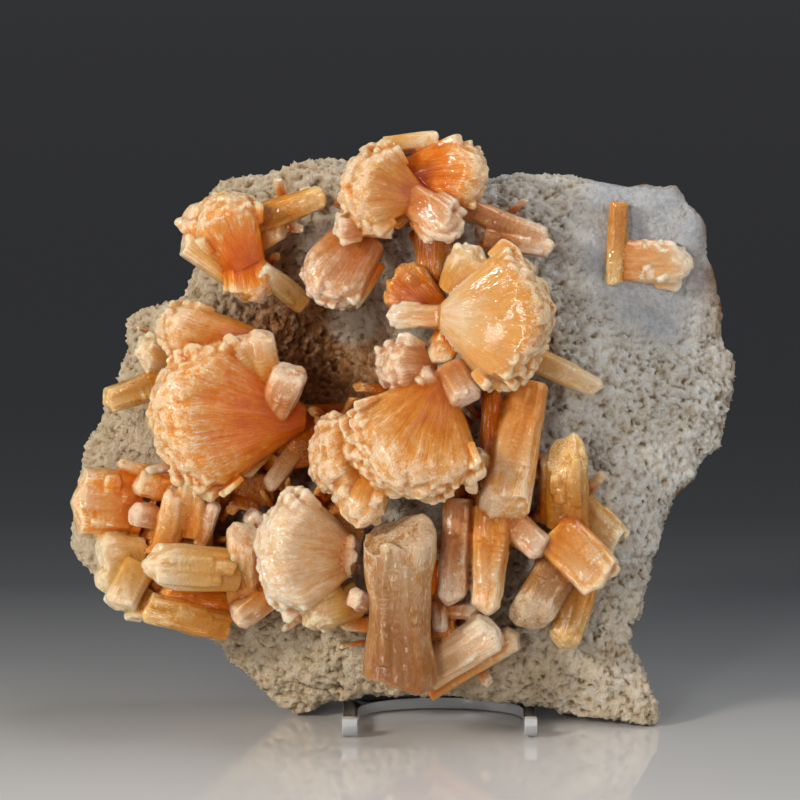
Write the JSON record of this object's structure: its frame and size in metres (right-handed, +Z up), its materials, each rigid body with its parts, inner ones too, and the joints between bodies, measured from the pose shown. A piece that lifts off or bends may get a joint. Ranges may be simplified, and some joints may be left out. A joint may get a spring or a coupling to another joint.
{
  "type": "stilbite crystal cluster on matrix with display easel",
  "caption": "Peach stilbite sheaves and blades grown on a cream rock plate, standing upright and leaning on a bent clear plastic display easel.",
  "frame": {"origin": "centre of the bounding box in X and Y, on the surface that the specimen and its easel stand on", "axes": "+Z up, +X to the right of someone facing the crystals, the crystal face looking to -Y and leaning back 10 degrees"},
  "size_m": [0.1672, 0.0991, 0.1472],
  "materials": {
    "matrix": "cream, dull, warty rock with chalky bluish-white patches and brown-stained edges",
    "stilbite_orange": "translucent orange crystal with fine striations and paler pearly ends",
    "stilbite_peach": "translucent peach crystal with fine striations and pale pearly crests",
    "stilbite_amber": "glassy brownish-amber crystal, striated along its length",
    "stilbite_pale": "pale yellow crystal sunk in the rock, with a granular pinkish middle",
    "clear_plastic": "clear polished acrylic sheet, bent hot"
  },
  "bodies": {
    "root": {"matrix": "matrix", "upper_left_sheaves": "stilbite_orange", "upper_sheaves": "stilbite_peach", "bow_tie": "stilbite_peach", "centre_fans": "stilbite_peach", "right_blades": "stilbite_peach", "left_fans": "stilbite_orange", "lower_left_blades": "stilbite_orange", "lower_fans": "stilbite_peach", "standing_blade": "stilbite_amber", "lower_right_blades": "stilbite_peach", "embedded_crystals": "stilbite_pale", "easel": "clear_plastic"}
  },
  "joints": []
}
